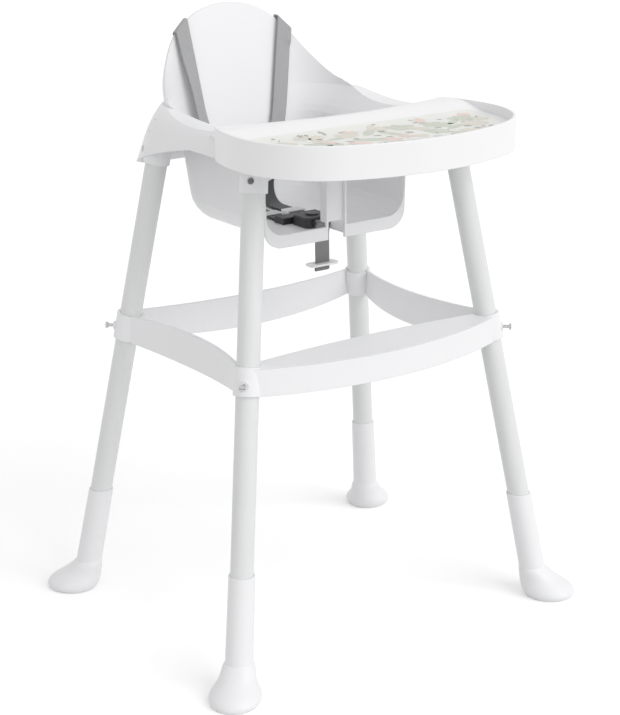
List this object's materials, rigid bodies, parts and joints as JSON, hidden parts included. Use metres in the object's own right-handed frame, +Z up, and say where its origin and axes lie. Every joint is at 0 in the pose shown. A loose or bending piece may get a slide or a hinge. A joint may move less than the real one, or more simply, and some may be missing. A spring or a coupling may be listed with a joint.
{
  "type": "baby high chair",
  "caption": "Baby high chair: moulded white bucket seat on splayed steel legs, with a slide-on tray, a footrest frame and a buckled harness.",
  "frame": {"origin": "on the floor, in the middle of the footprint of feet and tray", "axes": "+Z up, the seat faces -Y, +X to the right seen from the front"},
  "size_m": [0.6504, 0.5661, 0.8765],
  "materials": {
    "shell_white": "satin moulded",
    "tray_white": "satin moulded",
    "print_film": "printed film, pale shapes",
    "brace_white": "satin moulded",
    "screw_steel": "zinc plated",
    "insert_brass": "turned",
    "webbing_grey": "woven webbing",
    "slider_white": "moulded",
    "buckle_black": "fine grained",
    "button_black": "fine grained",
    "tube_paint": "powder coated",
    "foot_white": "satin moulded"
  },
  "bodies": {
    "chair": {"seat_shell": "shell_white", "leg_brace": "brace_white", "brace_screws": "screw_steel", "brace_inserts": "insert_brass", "socket_screws": "screw_steel", "crotch_strap": "webbing_grey", "buckle_body": "buckle_black", "leg_front_left": "tube_paint", "leg_rear_left": "tube_paint", "foot_front_left": "foot_white", "foot_rear_left": "foot_white", "shoulder_strap_left": "webbing_grey", "leg_front_right": "tube_paint", "leg_rear_right": "tube_paint", "foot_front_right": "foot_white", "foot_rear_right": "foot_white", "shoulder_strap_right": "webbing_grey"},
    "tray": {"tray": "tray_white", "tray_print": "print_film"},
    "button": {"buckle_button": "button_black"},
    "stopper": {"crotch_stopper": "slider_white"},
    "adjuster_left": {"shoulder_adjuster_left": "slider_white"},
    "tongue_left": {"buckle_tongue_left": "buckle_black"},
    "adjuster_right": {"shoulder_adjuster_right": "slider_white"},
    "tongue_right": {"buckle_tongue_right": "buckle_black"}
  },
  "joints": [
    {"name": "tray_slide", "type": "slide", "parent": "chair", "child": "tray", "axis": [0, -1, 0], "range_m": [0, 0.16]},
    {"name": "button_press", "type": "slide", "parent": "chair", "child": "button", "axis": [0, 0, -1], "range_m": [0, 0.0025], "stiffness_N_per_m": 600},
    {"name": "stopper_slide", "type": "slide", "parent": "chair", "child": "stopper", "axis": [0, 0, 1], "range_m": [0, 0.03]},
    {"name": "adjuster_slide_left", "type": "slide", "parent": "chair", "child": "adjuster_left", "axis": [0, 1, 0], "range_m": [-0.009, 0.025]},
    {"name": "tongue_slide_left", "type": "slide", "parent": "chair", "child": "tongue_left", "axis": [0, 1, 0], "range_m": [0, 0.014]},
    {"name": "adjuster_slide_right", "type": "slide", "parent": "chair", "child": "adjuster_right", "axis": [0, 1, 0], "range_m": [-0.009, 0.025]},
    {"name": "tongue_slide_right", "type": "slide", "parent": "chair", "child": "tongue_right", "axis": [0, 1, 0], "range_m": [0, 0.014]}
  ]
}
